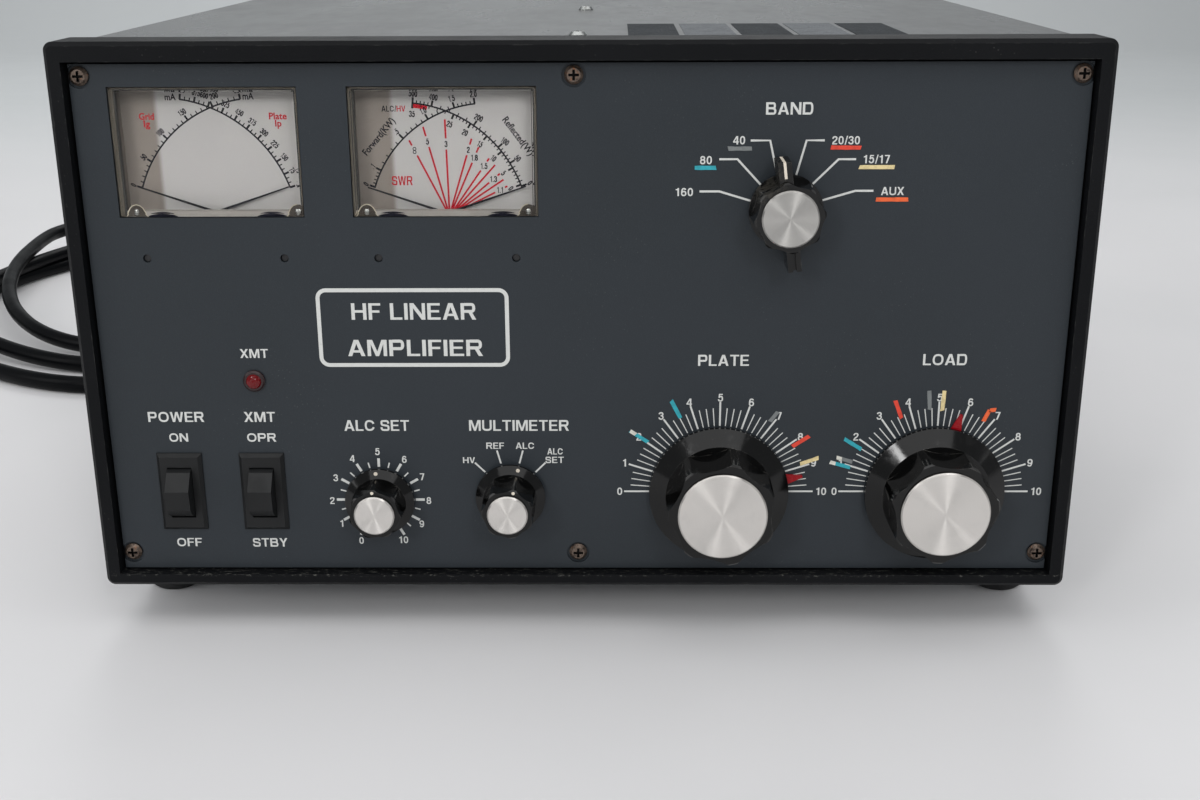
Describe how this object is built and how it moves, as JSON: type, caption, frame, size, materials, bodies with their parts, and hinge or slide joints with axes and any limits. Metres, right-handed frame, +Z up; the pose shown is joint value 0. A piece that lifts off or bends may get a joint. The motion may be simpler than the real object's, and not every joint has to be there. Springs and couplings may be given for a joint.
{
  "type": "hf linear amplifier",
  "caption": "Desktop radio-frequency power amplifier: dark cabinet with two twin-needle meters, two rocker switches, a band knob and two geared tuning knobs with red pointers.",
  "frame": {"origin": "on the table below the middle of the cabinet, with its knobs and rear sockets counted in", "axes": "+Z up; the front panel faces -Y; +X is to the right of a person who faces the panel"},
  "size_m": [0.6279, 0.6893, 0.2159],
  "materials": {
    "bezel_paint": "satin black, worn edges",
    "panel_paint": "matt slate grey-blue",
    "cover_paint": "smooth satin black",
    "chassis_steel": "zinc-plated sheet steel",
    "screw_steel": "blackened steel, worn",
    "cover_screw_steel": "bright plated",
    "rubber": "matt",
    "meter_black": "moulded",
    "dial_card": "printed off-white card",
    "acrylic": "clear bevelled acrylic",
    "needle": "matt dark",
    "switch_black": "matt",
    "lamp_red": "translucent red",
    "lamp_black": "gloss",
    "knob_black": "polished phenolic",
    "spun_aluminium": "fine circular turning",
    "pointer_red": "gloss red",
    "shaft_steel": "turned",
    "switch_board": "phenolic laminate",
    "capacitor_aluminium": "plates",
    "transformer_iron": "varnished laminations",
    "tube_glass": "clear glass",
    "ceramic": "glazed",
    "copper": "bare copper",
    "can_blue": "sleeved cans",
    "fan_black": "moulded",
    "connector_nickel": "nickel plate",
    "legend_white": "screen-printed ink",
    "dial_black": "printed ink",
    "dial_red": "printed ink",
    "marker_tape": "coloured adhesive tape",
    "cord_black": "satin cord jacket"
  },
  "bodies": {
    "chassis": {"front_bezel": "bezel_paint", "front_panel": "panel_paint", "chassis_pan": "chassis_steel", "rear_panel": "cover_paint", "top_cover": "cover_paint", "rf_partition": "chassis_steel", "panel_screws": "screw_steel", "cover_screws": "cover_screw_steel", "rubber_feet": "rubber", "left_meter_case": "meter_black", "left_meter_dial": "dial_card", "left_meter_window": "acrylic", "right_meter_case": "meter_black", "right_meter_dial": "dial_card", "right_meter_window": "acrylic", "power_switch_frame": "switch_black", "standby_switch_frame": "switch_black", "lamp_bezel": "lamp_black", "lamp_lens": "lamp_red", "alc_potentiometer": "shaft_steel", "multimeter_switch": "switch_board", "band_switch_wafers": "ceramic", "plate_capacitor_frame": "capacitor_aluminium", "load_capacitor_frame": "capacitor_aluminium", "vernier_drives": "shaft_steel", "power_transformer": "transformer_iron", "amplifier_tube": "tube_glass", "tube_socket": "ceramic", "tank_coil": "copper", "filter_capacitors": "can_blue", "fan_frame": "fan_black", "rear_connectors": "connector_nickel", "strain_relief": "rubber", "cord_lead": "cord_black", "cord_coil": "cord_black", "power_plug": "cord_black"},
    "grid_needle": {"grid_needle": "needle"},
    "plate_needle": {"plate_needle": "needle"},
    "forward_needle": {"forward_needle": "needle"},
    "reflected_needle": {"reflected_needle": "needle"},
    "power_rocker": {"power_rocker": "switch_black"},
    "standby_rocker": {"standby_rocker": "switch_black"},
    "alc_control": {"alc_knob": "knob_black", "alc_knob_cap": "spun_aluminium", "alc_shaft": "shaft_steel"},
    "multimeter_control": {"multimeter_knob": "knob_black", "multimeter_knob_cap": "spun_aluminium", "multimeter_shaft": "shaft_steel"},
    "band_control": {"band_knob": "knob_black", "band_knob_cap": "spun_aluminium", "band_shaft": "shaft_steel"},
    "plate_control": {"plate_knob": "knob_black", "plate_knob_cap": "spun_aluminium"},
    "plate_tuning": {"plate_pointer": "pointer_red", "plate_capacitor_rotor": "capacitor_aluminium"},
    "load_control": {"load_knob": "knob_black", "load_knob_cap": "spun_aluminium"},
    "load_tuning": {"load_pointer": "pointer_red", "load_capacitor_rotor": "capacitor_aluminium"},
    "fan": {"fan_rotor": "fan_black"}
  },
  "joints": [
    {"name": "grid_needle_swing", "type": "hinge", "parent": "chassis", "child": "grid_needle", "pos_m": [-0.1101, -0.18175, 0.15105], "axis": [0, 1, 0], "range_deg": [0, 67], "stiffness_Nm_per_rad": 0.002},
    {"name": "plate_needle_swing", "type": "hinge", "parent": "chassis", "child": "plate_needle", "pos_m": [-0.1443, -0.18175, 0.15105], "axis": [0, -1, 0], "range_deg": [0, 67], "stiffness_Nm_per_rad": 0.002},
    {"name": "forward_needle_swing", "type": "hinge", "parent": "chassis", "child": "forward_needle", "pos_m": [-0.0312, -0.18175, 0.15105], "axis": [0, 1, 0], "range_deg": [0, 67], "stiffness_Nm_per_rad": 0.002},
    {"name": "reflected_needle_swing", "type": "hinge", "parent": "chassis", "child": "reflected_needle", "pos_m": [-0.0616, -0.18175, 0.15105], "axis": [0, -1, 0], "range_deg": [0, 67], "stiffness_Nm_per_rad": 0.002},
    {"name": "power_rocker_tilt", "type": "hinge", "parent": "chassis", "child": "power_rocker", "pos_m": [-0.147, -0.18775, 0.0545], "axis": [1, 0, 0], "range_deg": [0, 32]},
    {"name": "standby_rocker_tilt", "type": "hinge", "parent": "chassis", "child": "standby_rocker", "pos_m": [-0.11695, -0.18775, 0.0545], "axis": [1, 0, 0], "range_deg": [0, 32]},
    {"name": "alc_turn", "type": "hinge", "parent": "chassis", "child": "alc_control", "pos_m": [-0.0743, -0.19275, 0.0511], "axis": [0, 1, 0], "range_deg": [-146.5, 153.5]},
    {"name": "multimeter_turn", "type": "hinge", "parent": "chassis", "child": "multimeter_control", "pos_m": [-0.0263, -0.19275, 0.05275], "axis": [0, 1, 0], "range_deg": [-60, 30]},
    {"name": "band_turn", "type": "hinge", "parent": "chassis", "child": "band_control", "pos_m": [0.0705, -0.19275, 0.1584], "axis": [0, 1, 0], "range_deg": [-60, 90]},
    {"name": "plate_knob_turn", "type": "hinge", "parent": "chassis", "child": "plate_control", "pos_m": [0.0497, -0.19275, 0.0544], "axis": [0, 1, 0], "range_deg": [-1010.4, 69.6]},
    {"name": "plate_tuning_turn", "type": "hinge", "parent": "chassis", "child": "plate_tuning", "pos_m": [0.0497, -0.17275, 0.0544], "axis": [0, 1, 0], "range_deg": [-168.4, 11.6]},
    {"name": "load_knob_turn", "type": "hinge", "parent": "chassis", "child": "load_control", "pos_m": [0.1281, -0.19275, 0.0544], "axis": [0, 1, 0], "range_deg": [-630, 450]},
    {"name": "load_tuning_turn", "type": "hinge", "parent": "chassis", "child": "load_tuning", "pos_m": [0.1281, -0.17275, 0.0544], "axis": [0, 1, 0], "range_deg": [-105, 75]},
    {"name": "fan_spin", "type": "hinge", "parent": "chassis", "child": "fan", "pos_m": [0.088, 0.18725, 0.11], "axis": [0, 1, 0], "continuous": true}
  ],
  "couplings": [
    {"joint": "plate_tuning_turn", "follows": "plate_knob_turn", "ratio": 0.16667},
    {"joint": "load_tuning_turn", "follows": "load_knob_turn", "ratio": 0.16667}
  ]
}
